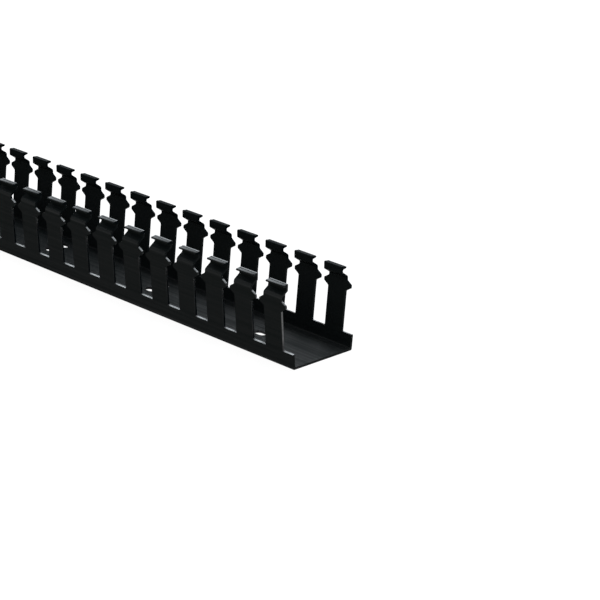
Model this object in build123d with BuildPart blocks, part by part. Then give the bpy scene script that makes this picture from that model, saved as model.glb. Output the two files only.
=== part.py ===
"""A length of slotted wire duct: one extruded channel whose walls are punched into fingers."""
import os
from math import radians, tan

from build123d import *

# The stock, in millimetres and degrees. X runs along the duct, Z is up, and the origin is the
# middle of the base's underside.
length = 1000.0
base_width = 38.5
height = 40.2
wall = 1.2
lean_angle = 4.7
corner_radius = 0.8
floor_radius = 0.8

# The upper edge of each wall: it bends inwards to an upright neck, and a lip stands out from the
# top of the neck, which the edge of a cover clips over. The depths are measured down from the top,
# and the neck's inset from the leaning outer face at the top.
bend_depth = 5.5
neck_depth = 2.95
neck_inset = 4.1
lip_width = 2.2
lip_depth = 1.6
lip_edge = 0.9
lip_drop = 0.3

# The fingers, and the slots between them
pitch = 20.0
slot_width = 8.5
mouth_width = 8.3
strip_height = 7.85
end_margin = 6.5

# The pair of bumps that narrows each slot and holds the wires in
bump_depth = 10.0
bump_gap = 2.5
bump_root = 5.2
bump_tip = 1.5

# The fixing holes in the base, in rows, below one slot in every few
hole_length = 6.8
hole_width = 4.4
hole_row_spacing = 9.0
hole_rows = 3
slots_per_hole = 4
first_hole_slot = 2

# What follows from those sizes
finger_width = pitch - slot_width
finger_count = int((length - end_margin + slot_width) // pitch)
first_finger = length / 2 - end_margin - finger_width / 2
last_finger = first_finger - (finger_count - 1) * pitch
first_hole = first_finger - (first_hole_slot - 0.5) * pitch
hole_pitch = slots_per_hole * pitch
hole_columns = 1 + int((first_hole + length / 2 - hole_length) // hole_pitch)
last_hole = first_hole - (hole_columns - 1) * hole_pitch
bump_height = height - bump_depth
cut_top = height + wall
cut_reach = base_width / 2 + height
end_cut = end_margin + pitch


def outer_face(z):
    """How far the leaning outer face of a wall is from the duct's middle at height z."""
    return base_width / 2 + z * tan(radians(lean_angle))


# The outer corners of a wall's upper edge
bend = (outer_face(height - bend_depth), height - bend_depth)
neck_side = outer_face(height) - neck_inset
lip_outer = neck_side + lip_width

# One half of a slot's outline, from its middle to the finger on its +X side
with BuildSketch() as half_slot:
    with BuildLine():
        Polyline(
            (0, strip_height),
            (slot_width / 2, strip_height),
            (slot_width / 2, bump_height - bump_root / 2),
            (bump_gap / 2, bump_height - bump_tip / 2),
            (bump_gap / 2, bump_height + bump_tip / 2),
            (slot_width / 2, bump_height + bump_root / 2),
            (mouth_width / 2, height),
            (mouth_width / 2, cut_top),
            (0, cut_top),
            close=True,
        )
    make_face()

with BuildSketch() as slot:
    add(half_slot.sketch)
    mirror(about=Plane.YZ)

# Beyond the last finger the wall is cut down to the strip, as far as the duct's end.
with BuildSketch() as end_notch:
    add(half_slot.sketch)
    with Locations((0, strip_height)):
        Rectangle(end_cut, cut_top - strip_height, align=(Align.MAX, Align.MIN))

with BuildPart() as duct:
    # The extrusion: a bent band of one thickness for the base and the walls, and the two lips
    with BuildSketch(Plane.YZ) as section:
        with BuildLine():
            Polyline(
                (0, 0),
                (base_width / 2, 0),
                bend,
                (neck_side, height - neck_depth),
                (neck_side, height),
            )
            offset(amount=wall, side=Side.LEFT, kind=Kind.INTERSECTION)
        make_face()
        with BuildLine():
            Polyline(
                (neck_side, height),
                (neck_side, height - lip_depth),
                (lip_outer, height - lip_drop - lip_edge),
                (lip_outer, height - lip_drop),
                close=True,
            )
        make_face()
        mirror(about=Plane.YZ)
        fillet(section.vertices().group_by(Axis.Y)[0], radius=corner_radius)
        floor_corners = section.vertices().sort_by(lambda corner: abs(corner.Y - wall))[:2]
        fillet(floor_corners, radius=floor_radius)
    extrude(amount=length / 2, both=True)

    # The slots, punched straight through both walls
    with BuildSketch(Plane.XZ):
        with Locations(((first_finger + last_finger) / 2, 0)):
            with GridLocations(pitch, pitch, finger_count - 1, 1):
                add(slot.sketch)
        with Locations((last_finger - pitch / 2, 0)):
            add(end_notch.sketch)
        with Locations((first_finger + pitch / 2, 0)):
            add(mirror(end_notch.sketch, about=Plane.YZ, mode=Mode.PRIVATE))
    extrude(amount=cut_reach, both=True, mode=Mode.SUBTRACT)

    # The fixing holes
    with BuildSketch(Plane.XY):
        with Locations(((first_hole + last_hole) / 2, 0)):
            with GridLocations(hole_pitch, hole_row_spacing, hole_columns, hole_rows):
                SlotOverall(hole_length, hole_width)
    extrude(amount=wall, mode=Mode.SUBTRACT)

duct.part.label = "duct"
os.makedirs("parts", exist_ok=True)
export_step(duct.part, "parts/duct.step")
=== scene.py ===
"""Looks of a length of black slotted wire duct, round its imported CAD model."""
from math import acos, ceil, cos, pi, radians, sin, tan

import bmesh
import bpy
from mathutils import Matrix, Vector
from mathutils.geometry import delaunay_2d_cdt


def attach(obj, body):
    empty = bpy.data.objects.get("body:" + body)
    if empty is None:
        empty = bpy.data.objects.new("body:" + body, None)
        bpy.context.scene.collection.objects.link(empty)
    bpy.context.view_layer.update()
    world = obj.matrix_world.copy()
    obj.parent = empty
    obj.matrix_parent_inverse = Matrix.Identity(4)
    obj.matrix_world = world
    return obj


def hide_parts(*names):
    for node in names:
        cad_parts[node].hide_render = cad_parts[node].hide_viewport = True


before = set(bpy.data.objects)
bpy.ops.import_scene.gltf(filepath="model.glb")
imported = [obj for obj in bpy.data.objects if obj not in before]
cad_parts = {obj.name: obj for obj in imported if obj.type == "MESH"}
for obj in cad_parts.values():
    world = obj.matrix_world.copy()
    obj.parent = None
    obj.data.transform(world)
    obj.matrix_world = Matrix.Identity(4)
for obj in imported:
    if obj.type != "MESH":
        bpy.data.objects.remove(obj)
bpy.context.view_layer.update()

# ---------------------------------------------------------------------------------------------
# The duct
# One length of rigid black PVC. It is extruded as a channel whose walls bend in at the top and
# end in a lip that a cover clips over. A press then punches the slots, which leave a row of
# fingers, and the oblong holes that it is screwed down by.
# ---------------------------------------------------------------------------------------------

# The extruded section in millimetres, as in the part's source. Y runs across the duct, Z is up.
length = 1000.0
base_width = 38.5
height = 40.2
wall = 1.2
lean_angle = radians(4.7)
bend_depth = 5.5
neck_depth = 2.95
neck_inset = 4.1
lip_width = 2.2
lip_depth = 1.6
lip_edge = 0.9
lip_drop = 0.3

# The small step from the neck's top down to the lip's, which the part's source leaves out
lip_step = 0.16
lip_step_lean = 0.04

# The radii that the die leaves on the section's corners
corner_radius = 0.8
floor_radius = 0.8
bend_radius = 1.7
bend_inner_radius = 0.5
neck_radius = 0.8
lip_root_radius = 0.5
lip_radius = 0.42
head_radius = 0.3
foot_radius = 0.5
arc_step = radians(18)

# The punched slots and their pairs of bumps
pitch = 20.0
slot_width = 8.5
mouth_width = 8.3
strip_height = 7.85
end_margin = 6.5
bump_depth = 10.0
bump_gap = 2.5
bump_root = 5.2
bump_tip = 1.5
tip_radius = 0.6
root_radius = 1.0
slot_corner = 0.25

# What the punch leaves: slightly broken edges, and a draft, by which a slot is wider inside and
# its ledge is lower outside. A thin wall's edges are broken by a share of its thickness at most.
punched_edge = 0.04
thin_edge_share = 0.3
draft = 0.18

# The fixing holes, in rows, below one slot in every few. The slots count from 0.
hole_length = 6.8
hole_width = 4.4
hole_row_spacing = 9.0
hole_rows = 3
slots_per_hole = 4
first_hole_slot = 1

# How close two places may be and still count as one
slack = 0.01
hair = 1e-6

finger_width = pitch - slot_width
finger_count = int((length - end_margin + slot_width) // pitch)
first_finger = length / 2 - end_margin - finger_width / 2
last_finger = first_finger - (finger_count - 1) * pitch


def rounded(corners):
    """A line through the corners (across, up, radius), with each corner turned on its radius."""
    line = []
    for k, (across, up, radius) in enumerate(corners):
        here = Vector((across, up))
        if not radius:
            line.append(here)
            continue
        back = (Vector(corners[k - 1][:2]) - here).normalized()
        on = (Vector(corners[k + 1][:2]) - here).normalized()
        half = acos(max(-1.0, min(1.0, back.dot(on)))) / 2
        turn = pi - 2 * half
        centre = here + (back + on).normalized() * (radius / sin(half))
        first, last = (here + side * (radius / tan(half)) - centre for side in (back, on))
        steps = max(2, ceil(turn / arc_step))
        for step in range(steps + 1):
            share = step / steps
            spoke = first * sin((1 - share) * turn) + last * sin(share * turn)
            line.append(centre + spoke / sin(turn))
    return line


def along(line, level, axis):
    """Where the line, which rises along the axis, passes a level."""
    for low, high in zip(line, line[1:]):
        if low[axis] <= level <= high[axis] and low[axis] < high[axis]:
            share = (level - low[axis]) / (high[axis] - low[axis])
            return low[1 - axis] + share * (high[1 - axis] - low[1 - axis])
    return (line[0] if level < line[0][axis] else line[-1])[1 - axis]


def outer_face(level):
    return base_width / 2 + level * tan(lean_angle)


# Half of the section as one line: under the base, up the outside, over the lip, down the inside
# and back over the floor. The edges of the fields that hold the holes are points of it.
neck_side = outer_face(height) - neck_inset
neck_in = neck_side - wall
lip_outer = neck_side + lip_width
bend = Vector((outer_face(height - bend_depth), height - bend_depth))
neck = Vector((neck_side, height - neck_depth))
bend_angle = (bend - neck).angle(Vector((0, -1)))
inside = wall / cos(lean_angle)
slope = Vector((sin(lean_angle), cos(lean_angle)))
half_turn = (lean_angle + bend_angle) / 2
through_wall = Vector((cos(lean_angle), -sin(lean_angle))) * wall
bend_in = bend - through_wall - slope * (wall * tan(half_turn))
foot = Vector((neck_in, neck.y - wall * tan(bend_angle / 2)))
field_edges = [(row - hole_rows / 2) * hole_row_spacing for row in range(hole_rows + 1)]
outline = rounded(
    [(edge, 0, 0) for edge in field_edges if edge > 0]
    + [
        (base_width / 2, 0, corner_radius),
        (*bend, bend_radius),
        (*neck, neck_radius),
        (neck_side, height - lip_depth, lip_root_radius),
        (lip_outer, height - lip_drop - lip_edge, lip_radius),
        (lip_outer, height - lip_drop, lip_radius),
        (neck_side + lip_step_lean, height - lip_step, 0),
        (neck_side, height, 0),
        (neck_in, height, head_radius),
        (*foot, foot_radius),
        (*bend_in, bend_inner_radius),
        (outer_face(wall) - inside, wall, floor_radius),
    ]
    + [(edge, wall, 0) for edge in reversed(field_edges) if edge > 0]
)
top = max(range(len(outline)), key=lambda k: outline[k].y)
outside, inner_side = outline[: top + 1], outline[top:][::-1]

# One edge of a slot, from the corner at its foot to the top, as distances from its middle
bump_height = height - bump_depth
slot_edge = rounded(
    [
        (slot_width / 2 - 2 * slot_corner, strip_height, 0),
        (slot_width / 2, strip_height, slot_corner),
        (slot_width / 2, bump_height - bump_root / 2, root_radius),
        (bump_gap / 2, bump_height - bump_tip / 2, tip_radius),
        (bump_gap / 2, bump_height + bump_tip / 2, tip_radius),
        (slot_width / 2, bump_height + bump_root / 2, root_radius),
        (mouth_width / 2, outline[top].y, 0),
    ]
)[1:]
foot_x = slot_edge[0].x
corner_end = next(k for k, point in enumerate(slot_edge) if point.x > slot_width / 2 - hair)
corner_centre = Vector((slot_width / 2 - slot_corner, strip_height + slot_corner))


class Surface:
    """Faces given by their corners in millimetres, with those that the press cut marked. Corners
    that agree to so many digits are one."""

    digits = 5

    def __init__(self):
        self.faces, self.cut = [], []

    def face(self, corners, cut=False):
        places = [tuple(round(value, self.digits) for value in corner) for corner in corners]
        self.faces.append(places)
        self.cut.append(cut)

    def made(self, name):
        places = {}
        for corners in self.faces:
            for corner in corners:
                places.setdefault(corner, len(places))
        mesh = bpy.data.meshes.new(name)
        mesh.from_pydata(
            [[value / 1000 for value in place] for place in places],
            [],
            [[places[corner] for corner in corners] for corners in self.faces],
        )
        mesh.attributes.new("punched", "FLOAT", "FACE").data.foreach_set("value", self.cut)
        piece = bpy.data.objects.new(name, mesh)
        bpy.context.collection.objects.link(piece)
        return piece


def levels_up():
    """The rows of a finger: for each, its edge on the cut face and on the wall's two faces, and
    how far round the slot's corner it is, from 0 on the ledge to 1 on the upright edge."""
    clear_of_corner, least_row, digits = 0.05, 0.08, 4
    lowest = slot_edge[corner_end].y + clear_of_corner
    marks = {round(point.y, digits) for point in slot_edge[corner_end:]}
    for side in (outside, inner_side):
        marks |= {round(point.y, digits) for point in side if point.y > lowest}
    kept = []
    for mark in sorted(marks):
        if not kept or mark - kept[-1] > least_row:
            kept.append(mark)
    kept[-1] = outline[top].y
    rows = []
    for k, point in enumerate(slot_edge[:corner_end]):
        spoke = (point - corner_centre).normalized() * (slot_corner + punched_edge)
        rows.append((point, corner_centre + spoke, k / corner_end))
    for mark in kept:
        edge = Vector((along(slot_edge, mark, 1), mark))
        rows.append((edge, edge + Vector((punched_edge, 0)), 1.0))
    return rows


rows = levels_up()


def depth_at(level):
    """Where a wall's outer and inner faces are at a level, and how far their edges are broken."""
    out, inn = along(outside, level, 1), along(inner_side, level, 1)
    return out, inn, min(punched_edge, (out - inn) * thin_edge_share)


def half_finger(surface, side, across, middle):
    """Half a finger, from the slot's edge to the finger's own middle line. The side is 1 or -1
    along the duct, and so is across for the two walls."""
    for low, high in zip(rows, rows[1:]):
        corners = []
        for edge, face, share in (low, high):
            wider, fall = draft * share, draft * (1 - share)
            _, inn, rim = depth_at(edge.y)
            inn_face = depth_at(face.y)[1]
            out, out_face = depth_at(edge.y - fall)[0], depth_at(face.y - fall)[0]
            corners.append(
                [
                    (middle, out_face, face.y - fall),
                    (face.x, out_face, face.y - fall),
                    (edge.x, out - rim, edge.y - fall),
                    (edge.x + wider, inn + rim, edge.y),
                    (face.x + wider, inn_face, face.y),
                    (middle, inn_face, face.y),
                ]
            )
        for k, cut in enumerate((False, True, True, True, False)):
            quad = (corners[0][k], corners[0][k + 1], corners[1][k + 1], corners[1][k])
            surface.face([(side * x, across * y, z) for x, y, z in quad], cut)
    surface.face([(side * x, across * y, z) for x, y, z in corners[1]])


def ring(grow, level):
    """The outline of a fixing hole, grown by an amount, at a level."""
    steps = 12
    straight, radius = (hole_length - hole_width) / 2, hole_width / 2 + grow
    points = []
    for end in (1, -1):
        for step in range(steps + 1):
            turn = pi * step / steps - pi / 2 + (0 if end > 0 else pi)
            points.append((end * straight + radius * cos(turn), radius * sin(turn), level))
    return points


def inside_hole(x, y):
    straight = (hole_length - hole_width) / 2
    return Vector((max(abs(x) - straight, 0), y)).length < hole_width / 2


def bored_field(surface, lines, low, high):
    """One field of the base with a hole in its middle, on its two faces and through it."""
    inside_only = 1
    middle = (low + high) / 2
    rim = [(x, low) for x in lines] + [(x, high) for x in reversed(lines)]
    hole = [(x, y + middle) for x, y, _ in ring(punched_edge, 0)]
    loops = [
        (start + k, start + (k + 1) % count)
        for start, count in ((0, len(rim)), (len(rim), len(hole)))
        for k in range(count)
    ]
    places = [Vector(place) for place in rim + hole]
    points, _, triangles, *_ = delaunay_2d_cdt(places, loops, [], inside_only, hair)
    for triangle in triangles:
        centre = sum((points[k] for k in triangle), Vector((0, 0))) / 3
        if not inside_hole(centre.x, centre.y - middle):
            for level in (0, wall):
                surface.face([(*points[k], level) for k in triangle])
    rings = [
        ring(punched_edge, 0),
        ring(0, punched_edge),
        ring(0, wall - punched_edge),
        ring(punched_edge, wall),
    ]
    for low_ring, high_ring in zip(rings, rings[1:]):
        for k in range(len(low_ring)):
            quad = (low_ring[k - 1], low_ring[k], high_ring[k], high_ring[k - 1])
            surface.face([(x, y + middle, z) for x, y, z in quad], True)


def stretch(name, lines, sides, bored=False, end=None, centre=0.0):
    """A stretch of duct round the middle of one slot, with half a finger at each of its sides. A
    stretch with an end is cut off there, with the base and the strips showing their section."""
    surface = Surface()
    rim = strip_height - punched_edge
    low_rim = rim - draft
    out_face, inn_face = depth_at(low_rim)[0], depth_at(rim)[1]
    outside_low = [point for point in outside if point.y < low_rim] + [Vector((out_face, low_rim))]
    inside_low = [point for point in inner_side if point.y < rim] + [Vector((inn_face, rim))]
    for low, row in ((0.0, outside_low), (wall, inside_low)):
        across = [Vector((-point.x, point.y)) for point in reversed(row)] + row
        for first, second in zip(across, across[1:]):
            flat = first.y == second.y and second.x - first.x > hole_row_spacing - slack
            if flat and bored:
                if low == 0:
                    bored_field(surface, lines, first.x, second.x)
                continue
            for start, stop in zip(lines, lines[1:]):
                surface.face([(start, *first), (stop, *first), (stop, *second), (start, *second)])
    across_ledge = [
        (out_face, low_rim),
        (depth_at(strip_height - draft)[0] - punched_edge, strip_height - draft),
        (depth_at(strip_height)[1] + punched_edge, strip_height),
        (inn_face, rim),
    ]
    left, *_, right = [x for x in lines if abs(x) < foot_x + slack]
    for across in (1, -1):
        for first, second in zip(across_ledge, across_ledge[1:]):
            quad = [(left, *first), (right, *first), (right, *second), (left, *second)]
            surface.face([(x, across * y, z) for x, y, z in quad], True)
        for side in sides:
            half_finger(surface, side, across, pitch / 2)
    if end is not None:
        half = outside_low + [Vector(place) for place in across_ledge[1:3]] + inside_low[::-1]
        whole = half + [Vector((-point.x, point.y)) for point in reversed(half)]
        surface.face([(end, *point) for point in whole])
        clip = max if 1 in sides else min
        surface.faces = [
            [(clip(x, end), y, z) for x, y, z in corners] for corners in surface.faces
        ]
    surface.faces = [
        [(round(x + centre, surface.digits), y, z) for x, y, z in corners]
        for corners in surface.faces
    ]
    return surface.made(name)


# The bays that the duct is made of: one slot without holes and one with them, and the two ends.
# The far end comes inside the last slot, so it cuts a bump off as well.
half_pitch = pitch / 2
bay_lines = (-half_pitch, -foot_x, foot_x, half_pitch)
plain_bay = stretch("plain_bay", bay_lines, (-1, 1))
bored_bay = stretch("bored_bay", bay_lines, (-1, 1), bored=True)
near_slot, far_slot = first_finger + half_pitch, last_finger - half_pitch
near_cut, far_cut = length / 2 - near_slot, -length / 2 - far_slot
near_lines, far_lines = (-half_pitch, -foot_x, near_cut), (far_cut, foot_x, half_pitch)
near_end = stretch("near_end", near_lines, (-1,), end=near_cut, centre=near_slot)
far_end = stretch("far_end", far_lines, (1,), end=far_cut, centre=far_slot)


def pvc(name, dark, light, specular, painted_sheen_by_height, grain, relief):
    """Black PVC with a grain of so many marks in a metre along each axis. By height in millimetres
    it has a refraction above 1, a roughness, and the shares of that refraction on the far wall and
    away from the near end. That refraction is painted sheen and painted shade: band by band, wall
    by wall and along the duct it is set to how the light fell there, on top of the plastic's own
    gloss.
    The specular level holds all over, and the refraction makes up for it.
    """
    layers, fine_share, harshness = ((1.0, 3.0), (3.7, 2.0)), 0.45, 0.55
    dark_below, light_above = 0.35, 0.68
    few_marks, many_marks = 0.35, 0.65
    uneven_sheen, uneven_roughness, mark_depth = 0.4, 0.06, 0.0001
    near_wall, far_wall = -0.012, 0.012
    dim_up_to, bright_from = 0.3, 0.47
    material = bpy.data.materials.new(name)
    material.use_nodes = True
    nodes, links = material.node_tree.nodes, material.node_tree.links
    shader = nodes["Principled BSDF"]
    shader.inputs["Specular IOR Level"].default_value = specular

    def ranged(source, low, high, start, stop):
        made = nodes.new("ShaderNodeMapRange")
        limits = {"From Min": low, "From Max": high, "To Min": start, "To Max": stop}
        for socket, value in limits.items():
            made.inputs[socket].default_value = value
        links.new(source, made.inputs["Value"])
        return made.outputs["Result"]

    def reckoned(operation, first, second):
        made = nodes.new("ShaderNodeMath")
        made.operation = operation
        links.new(first, made.inputs[0])
        if isinstance(second, float):
            made.inputs[1].default_value = second
        else:
            links.new(second, made.inputs[1])
        return made.outputs[0]

    place = nodes.new("ShaderNodeTexCoord").outputs["Object"]
    layer_marks = []
    for scale, detail in layers:
        mapping = nodes.new("ShaderNodeMapping")
        mapping.inputs["Scale"].default_value = [value * scale for value in grain]
        links.new(place, mapping.inputs["Vector"])
        noise = nodes.new("ShaderNodeTexNoise")
        noise.inputs["Scale"].default_value = 1.0
        noise.inputs["Detail"].default_value = detail
        noise.inputs["Roughness"].default_value = harshness
        links.new(mapping.outputs["Vector"], noise.inputs["Vector"])
        layer_marks.append(noise.outputs["Fac"])
    both = nodes.new("ShaderNodeMix")
    both.data_type = "FLOAT"
    both.inputs["Factor"].default_value = fine_share
    links.new(layer_marks[0], both.inputs["A"])
    links.new(layer_marks[1], both.inputs["B"])
    marks = both.outputs["Result"]
    colour = nodes.new("ShaderNodeValToRGB")
    shades = ((dark_below, dark), (light_above, light))
    for stop, (position, shade) in zip(colour.color_ramp.elements, shades):
        stop.position = position
        stop.color = (*shade, 1)
    links.new(marks, colour.inputs["Fac"])
    links.new(colour.outputs["Color"], shader.inputs["Base Color"])

    split = nodes.new("ShaderNodeSeparateXYZ")
    links.new(place, split.inputs[0])
    # The refraction by height is painted sheen and shade, set band by band to how the light fell.
    painted_sheen_ramp = nodes.new("ShaderNodeValToRGB")
    stops = painted_sheen_ramp.color_ramp.elements
    for k, (level, *values) in enumerate(painted_sheen_by_height):
        stop = stops[k] if k < len(stops) else stops.new(level / height)
        stop.position = level / height
        stop.color = values
    links.new(ranged(split.outputs["Z"], 0.0, height / 1000, 0.0, 1.0), painted_sheen_ramp.inputs["Fac"])
    parted = nodes.new("ShaderNodeSeparateXYZ")
    links.new(painted_sheen_ramp.outputs["Color"], parted.inputs[0])
    # Painted light and shade: the far wall's share of the sheen.
    side = ranged(split.outputs["Y"], near_wall, far_wall, 1.0, 1.0)
    links.new(parted.outputs[2], side.node.inputs["To Max"])
    # Painted shade: the sheen fades away from the near end.
    painted_fade_along_duct = ranged(split.outputs["X"], dim_up_to, bright_from, 1.0, 1.0)
    links.new(painted_sheen_ramp.outputs["Alpha"], painted_fade_along_duct.node.inputs["To Min"])
    sheen = reckoned("MULTIPLY", parted.outputs[0], side)
    sheen = reckoned("MULTIPLY", sheen, painted_fade_along_duct)
    streaks = ranged(marks, few_marks, many_marks, 1 + uneven_sheen, 1 - uneven_sheen)
    sheen = reckoned("MULTIPLY", sheen, streaks)

    # At a specular level of 0.5 the refraction would be 1 + sheen. The one here mirrors as much of
    # the light at the level that is set.
    made_up = (2 * specular) ** -0.5
    less = reckoned("ADD", reckoned("MULTIPLY", sheen, 1.0 - made_up), 2.0)
    sheen = reckoned("DIVIDE", reckoned("MULTIPLY", sheen, 2 * made_up), less)
    links.new(reckoned("ADD", sheen, 1.0), shader.inputs["IOR"])
    scuffs = ranged(marks, few_marks, many_marks, -uneven_roughness, uneven_roughness)
    links.new(reckoned("ADD", parted.outputs[1], scuffs), shader.inputs["Roughness"])
    bump = nodes.new("ShaderNodeBump")
    bump.inputs["Strength"].default_value = relief
    bump.inputs["Distance"].default_value = mark_depth
    links.new(marks, bump.inputs["Height"])
    links.new(bump.outputs["Normal"], shader.inputs["Normal"])
    return material


# The stops: the floor, the walls (1.6 to 33.2), the bend (34.2 to 35.0), the slope and the neck
# under the lip (35.7 to 38.4), the lip's side and the top of the head. The refraction in these
# bands, the far wall's shares and the fade away from the near end are set to how the light fell
# there: painted sheen and painted shade on top of the plastic's own gloss.
extruded = pvc(
    "extruded_black_pvc_painted_sheen",
    dark=(0.003, 0.0041, 0.0045),
    light=(0.006, 0.0079, 0.0084),
    specular=0.03,
    painted_sheen_by_height=[
        (1.25, 0.168, 0.66, 1.0, 0.46),
        (1.6, 0.08, 0.42, 1.25, 0.9),
        (33.2, 0.08, 0.42, 1.25, 0.85),
        (34.2, 0.18, 0.36, 0.7, 0.8),
        (35.0, 0.16, 0.36, 0.7, 0.8),
        (35.7, 0.04, 0.42, 1.5, 0.6),
        (38.4, 0.04, 0.42, 1.5, 0.6),
        (39.3, 0.045, 0.36, 1.4, 0.7),
        (39.75, 0.114, 0.18, 0.2, 0.7),
    ],
    grain=(7, 650, 650),
    relief=0.4,
)

# The stops: the slots' ledges, the fingers' edges (8.6 to 28.0), the bumps (30.0 to 32.2) and
# the heads. Here too the bands' refraction, the far wall's shares and the fade away from the near
# end paint highlights, glints and shade on top of the punched faces' own gloss.
cut_face = pvc(
    "punched_black_pvc_painted_sheen",
    dark=(0.001, 0.0022, 0.003),
    light=(0.0026, 0.0048, 0.0062),
    specular=0.2,
    painted_sheen_by_height=[
        (8.0, 0.4, 0.2, 0.3, 0.64),
        (8.6, 0.25, 0.14, 0.2, 0.8),
        (14.0, 0.66, 0.14, 0.2, 0.75),
        (28.0, 0.66, 0.14, 0.2, 0.75),
        (30.0, 0.3, 0.2, 0.3, 0.9),
        (32.2, 0.3, 0.2, 0.3, 0.9),
        (33.2, 0.12, 0.2, 0.3, 0.8),
    ],
    grain=(2400, 200, 2400),
    relief=0.1,
)


def repeating_tree():
    """Sets the bays along the duct, the bored ones at every few slots, and the two ends."""
    tree = bpy.data.node_groups.new("punched_duct", "GeometryNodeTree")
    sockets = tree.interface
    sockets.new_socket("Geometry", in_out="OUTPUT", socket_type="NodeSocketGeometry")
    sockets.new_socket("Plain bay", in_out="INPUT", socket_type="NodeSocketGeometry")
    wanted = {
        "Bored bay": "NodeSocketObject",
        "Near end": "NodeSocketObject",
        "Far end": "NodeSocketObject",
        "Bays": "NodeSocketInt",
        "First bay": "NodeSocketFloat",
        "Pitch": "NodeSocketFloat",
        "First bored bay": "NodeSocketInt",
        "Bays per hole": "NodeSocketInt",
        "Extruded faces": "NodeSocketMaterial",
        "Punched faces": "NodeSocketMaterial",
    }
    inputs = {}
    for name, kind in wanted.items():
        inputs[name] = sockets.new_socket(name, in_out="INPUT", socket_type=kind)
    nodes, links = tree.nodes, tree.links
    given = nodes.new("NodeGroupInput").outputs

    def node(kind, **settings):
        made = nodes.new(kind)
        for name, value in settings.items():
            setattr(made, name, value)
        return made

    first = node("ShaderNodeCombineXYZ")
    links.new(given["First bay"], first.inputs["X"])
    back = node("ShaderNodeMath", operation="MULTIPLY")
    links.new(given["Pitch"], back.inputs[0])
    back.inputs[1].default_value = -1.0
    step = node("ShaderNodeCombineXYZ")
    links.new(back.outputs[0], step.inputs["X"])
    line = node("GeometryNodeMeshLine", mode="OFFSET")
    links.new(given["Bays"], line.inputs["Count"])
    links.new(first.outputs[0], line.inputs["Start Location"])
    links.new(step.outputs[0], line.inputs["Offset"])
    number = node("GeometryNodeInputIndex")
    past = node("ShaderNodeMath", operation="SUBTRACT")
    links.new(number.outputs[0], past.inputs[0])
    links.new(given["First bored bay"], past.inputs[1])
    turn = node("ShaderNodeMath", operation="FLOORED_MODULO")
    links.new(past.outputs[0], turn.inputs[0])
    links.new(given["Bays per hole"], turn.inputs[1])
    is_bored = node("FunctionNodeCompare", data_type="FLOAT", operation="LESS_THAN")
    links.new(turn.outputs[0], is_bored.inputs["A"])
    is_bored.inputs["B"].default_value = 0.5
    not_bored = node("FunctionNodeBooleanMath", operation="NOT")
    links.new(is_bored.outputs[0], not_bored.inputs[0])
    join = node("GeometryNodeJoinGeometry")
    for name in ("Near end", "Far end"):
        info = node("GeometryNodeObjectInfo")
        links.new(given[name], info.inputs["Object"])
        links.new(info.outputs["Geometry"], join.inputs[0])
    bored = node("GeometryNodeObjectInfo")
    links.new(given["Bored bay"], bored.inputs["Object"])
    for shape, chosen in ((given["Plain bay"], not_bored), (bored.outputs["Geometry"], is_bored)):
        placed = node("GeometryNodeInstanceOnPoints")
        links.new(line.outputs[0], placed.inputs["Points"])
        links.new(chosen.outputs[0], placed.inputs["Selection"])
        links.new(shape, placed.inputs["Instance"])
        links.new(placed.outputs[0], join.inputs[0])
    real = node("GeometryNodeRealizeInstances")
    links.new(join.outputs[0], real.inputs[0])
    satin = node("GeometryNodeSetMaterial")
    links.new(real.outputs[0], satin.inputs["Geometry"])
    links.new(given["Extruded faces"], satin.inputs["Material"])
    punched = node("GeometryNodeInputNamedAttribute", data_type="FLOAT")
    punched.inputs["Name"].default_value = "punched"
    shiny = node("GeometryNodeSetMaterial")
    links.new(satin.outputs[0], shiny.inputs["Geometry"])
    links.new(punched.outputs["Attribute"], shiny.inputs["Selection"])
    links.new(given["Punched faces"], shiny.inputs["Material"])
    links.new(shiny.outputs[0], node("NodeGroupOutput").inputs[0])
    return tree, inputs


tree, inputs = repeating_tree()
press = plain_bay.modifiers.new("press", "NODES")
press.node_group = tree
for name, value in {
    "Bored bay": bored_bay,
    "Near end": near_end,
    "Far end": far_end,
    "Bays": finger_count - 1,
    "First bay": (first_finger - half_pitch) / 1000,
    "Pitch": pitch / 1000,
    "First bored bay": first_hole_slot,
    "Bays per hole": slots_per_hole,
    "Extruded faces": extruded,
    "Punched faces": cut_face,
}.items():
    press[inputs[name].identifier] = value
evaluated = plain_bay.evaluated_get(bpy.context.evaluated_depsgraph_get())
duct_mesh = bpy.data.meshes.new_from_object(evaluated)
plain_bay.modifiers.clear()

# The bays meet in shared edges, which are welded into one closed skin. The reach is in metres.
weld_reach = 2e-6
crease = radians(28)
work = bmesh.new()
work.from_mesh(duct_mesh)
bmesh.ops.remove_doubles(work, verts=work.verts, dist=weld_reach)
bmesh.ops.recalc_face_normals(work, faces=work.faces)
work.to_mesh(duct_mesh)
work.free()
duct_mesh.polygons.foreach_set("use_smooth", [True] * len(duct_mesh.polygons))
duct_mesh.set_sharp_from_angle(angle=crease)
duct_mesh.name = "slotted_duct"
slotted_duct = bpy.data.objects.new("slotted_duct", duct_mesh)
bpy.context.collection.objects.link(slotted_duct)
for part in (plain_bay, bored_bay, near_end, far_end):
    spare = part.data
    bpy.data.objects.remove(part)
    bpy.data.meshes.remove(spare)
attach(slotted_duct, "root")
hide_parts("duct")

# ---------------------------------------------------------------------------------------------
# The floor and the room
# A plain pale surface that the duct lies on, wide enough to fill the picture, and a white room.
# The eye sees the floor as white, with the duct's shadow on it. The light that it throws back
# onto the duct is that of a warm pale board.
# ---------------------------------------------------------------------------------------------
floor_mesh = bpy.data.meshes.new("pale_floor")
reach = 6.0
corners = [(-reach, -reach, 0), (reach, -reach, 0), (reach, reach, 0), (-reach, reach, 0)]
floor_mesh.from_pydata(corners, [], [(0, 1, 2, 3)])
pale_floor = bpy.data.objects.new("pale_floor", floor_mesh)
bpy.context.collection.objects.link(pale_floor)


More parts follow.
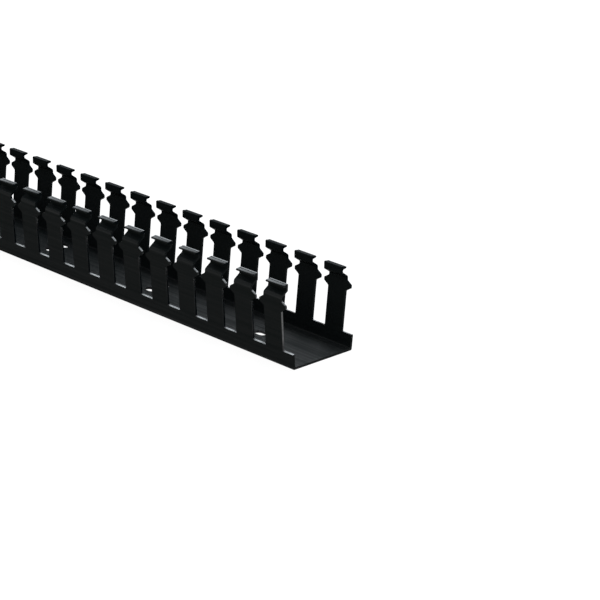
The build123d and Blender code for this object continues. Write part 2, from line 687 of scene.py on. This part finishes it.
def seen_by_eye(nodes, links):
    """1 for the rays that carry the picture, also by way of a shiny or a clear face."""
    path = nodes.new("ShaderNodeLightPath")
    seen = path.outputs["Is Camera Ray"]
    for other in ("Is Glossy Ray", "Is Transmission Ray"):
        more = nodes.new("ShaderNodeMath")
        more.operation = "MAXIMUM"
        links.new(seen, more.inputs[0])
        links.new(path.outputs[other], more.inputs[1])
        seen = more.outputs[0]
    return seen


warm_board, shadowed, glow_strength = (0.62, 0.53, 0.4, 1), (0.1, 0.1, 0.1, 1), 0.93
pale = bpy.data.materials.new("pale_floor")
pale.use_nodes = True
nodes, links = pale.node_tree.nodes, pale.node_tree.links
nodes.clear()
seen = seen_by_eye(nodes, links)
plain = nodes.new("ShaderNodeBsdfDiffuse")
plain.inputs["Color"].default_value = warm_board
dimmed = nodes.new("ShaderNodeBsdfDiffuse")
dimmed.inputs["Color"].default_value = shadowed
glow = nodes.new("ShaderNodeEmission")
glow.inputs["Strength"].default_value = glow_strength
white = nodes.new("ShaderNodeAddShader")
links.new(dimmed.outputs[0], white.inputs[0])
links.new(glow.outputs[0], white.inputs[1])
pick = nodes.new("ShaderNodeMixShader")
links.new(seen, pick.inputs[0])
links.new(plain.outputs[0], pick.inputs[1])
links.new(white.outputs[0], pick.inputs[2])
links.new(pick.outputs[0], nodes.new("ShaderNodeOutputMaterial").inputs[0])
floor_mesh.materials.append(pale)

room_light, room_seen = 0.9, 1.0
room = bpy.data.worlds.new("white_room")
room.use_nodes = True
nodes, links = room.node_tree.nodes, room.node_tree.links
strength = nodes.new("ShaderNodeMapRange")
strength.inputs["To Min"].default_value = room_light
strength.inputs["To Max"].default_value = room_seen
links.new(seen_by_eye(nodes, links), strength.inputs["Value"])
links.new(strength.outputs["Result"], nodes["Background"].inputs["Strength"])
nodes["Background"].inputs["Color"].default_value = (1, 1, 1, 1)
bpy.context.scene.world = room

# ---------------------------------------------------------------------------------------------
# The lamps
# Two soft boxes behind the duct, above it: a long one, which the floor, the ledges and the heads
# of the fingers shine in, and a smaller one near the end, for the glints on the bumps.
# ---------------------------------------------------------------------------------------------


def soft_box(name, place, target, size, radiance, colour):
    """A lamp of a size in metres, turned to a target. Its power grows with its size."""
    data = bpy.data.lights.new(name, "AREA")
    data.shape = "RECTANGLE"
    data.size, data.size_y = size
    data.energy = radiance * pi * size[0] * size[1]
    data.color = colour
    lamp = bpy.data.objects.new(name, data)
    lamp.location = place
    lamp.rotation_euler = (Vector(target) - Vector(place)).to_track_quat("-Z", "Y").to_euler()
    lamp.visible_camera = False
    bpy.context.collection.objects.link(lamp)


daylight = (0.88, 0.95, 1.0)
soft_box("back_box", (-0.79, 1.09, 0.9), (0.3, 0, 0), (2.8, 1.2), 5.6, daylight)
soft_box("side_box", (0.38, 1.0, 1.18), (0.35, 0, 0), (0.9, 0.5), 6.0, daylight)

# ---------------------------------------------------------------------------------------------
# The camera
# It looks along the duct from beyond its near end, at the photograph's angle. Its place comes
# from fitting the duct's outline to the photograph.
# ---------------------------------------------------------------------------------------------
camera_data = bpy.data.cameras.new("camera")
camera_data.sensor_width = 36.0
camera_data.lens = 137.58
camera_data.clip_end = 30.0
camera = bpy.data.objects.new("camera", camera_data)
place = (1.19388, -0.70856, 0.40015)
heading, elevation, roll = radians(45.054), radians(20.488), radians(1.375)
camera.matrix_world = (
    Matrix.Translation(place)
    @ Matrix.Rotation(heading, 4, "Z")
    @ Matrix.Rotation(pi / 2 - elevation, 4, "X")
    @ Matrix.Rotation(roll, 4, "Z")
)
bpy.context.collection.objects.link(camera)
bpy.context.scene.camera = camera
bpy.context.scene.view_settings.view_transform = "Standard"
